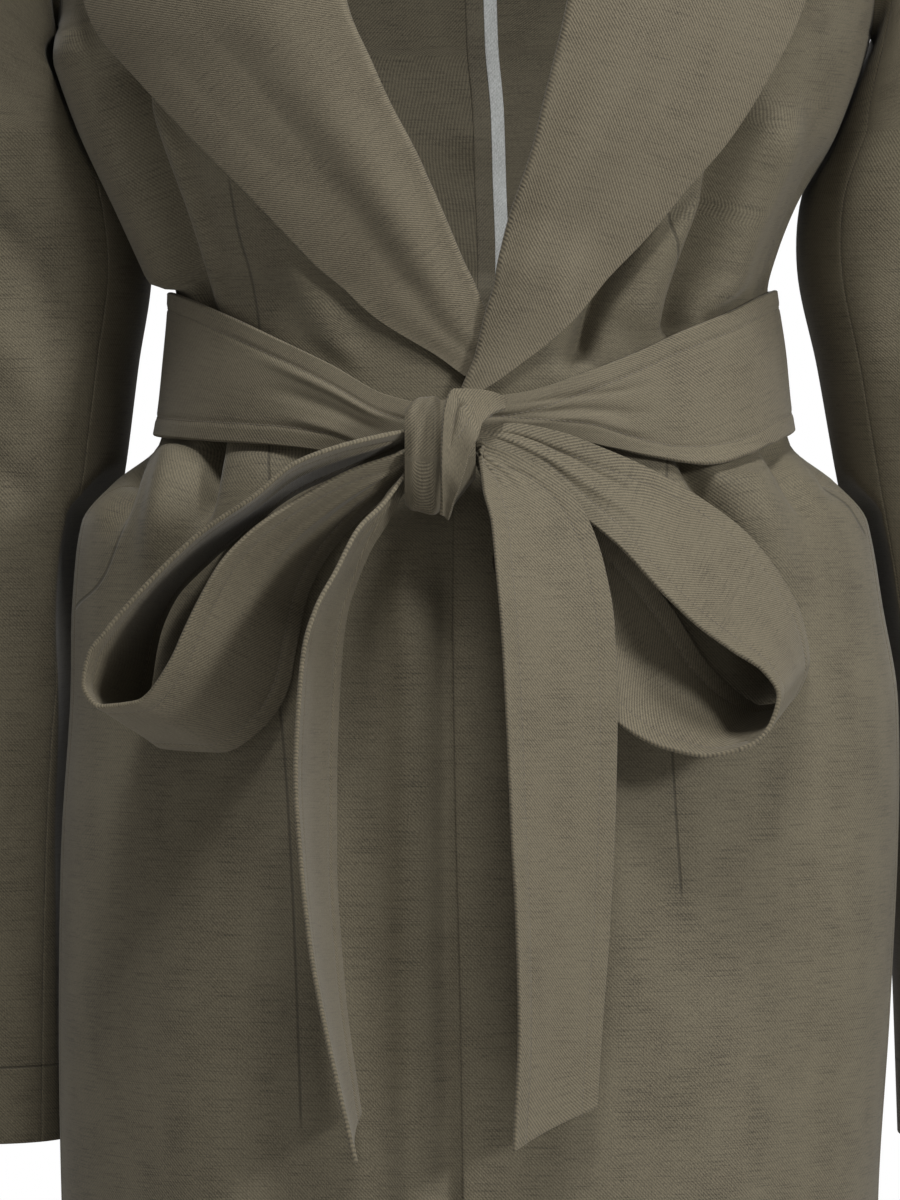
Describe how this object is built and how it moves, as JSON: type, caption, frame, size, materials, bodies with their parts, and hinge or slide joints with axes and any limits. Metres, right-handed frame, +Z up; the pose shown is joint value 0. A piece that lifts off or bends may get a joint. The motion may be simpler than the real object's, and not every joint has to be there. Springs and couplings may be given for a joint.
{
  "type": "belted blazer",
  "caption": "Long wrap-front blazer with very wide lapels and a self-fabric sash tied in a bow, held in its worn shape",
  "frame": {"origin": "between the neck points, at the height where the shoulder seams meet the collar; the wearer's neck and shoulders hold the garment there", "axes": "+X is the wearer's left, +Y is the wearer's back (the front faces -Y), +Z is up"},
  "size_m": [0.535, 0.3015, 0.8312],
  "materials": {
    "cloth": "fine twill suiting, matte with a faint sheen",
    "lapel": "the same twill, pressed and faced",
    "sash": "the same twill, doubled and top-stitched",
    "inside": "the wrong side of the twill, matte",
    "tape": "pale woven binding tape",
    "button": "dark, horn-like, satin"
  },
  "bodies": {
    "root": {"back_allowance": "inside", "back_binding": "tape", "back_left": "cloth", "back_right": "cloth", "belt_left": "sash", "belt_right": "sash", "collar_stand_left": "inside", "collar_stand_right": "inside", "front_button": "button", "front_left": "cloth", "front_right": "cloth", "knot_band": "sash", "knot_wrap": "sash", "lapel_left": "lapel", "lapel_right": "lapel", "loop_left": "sash", "loop_right": "sash", "sleeve_left_top": "cloth", "sleeve_left_under": "cloth", "sleeve_right_top": "cloth", "sleeve_right_under": "cloth", "tail_left": "sash", "tail_right": "sash"}
  },
  "joints": []
}
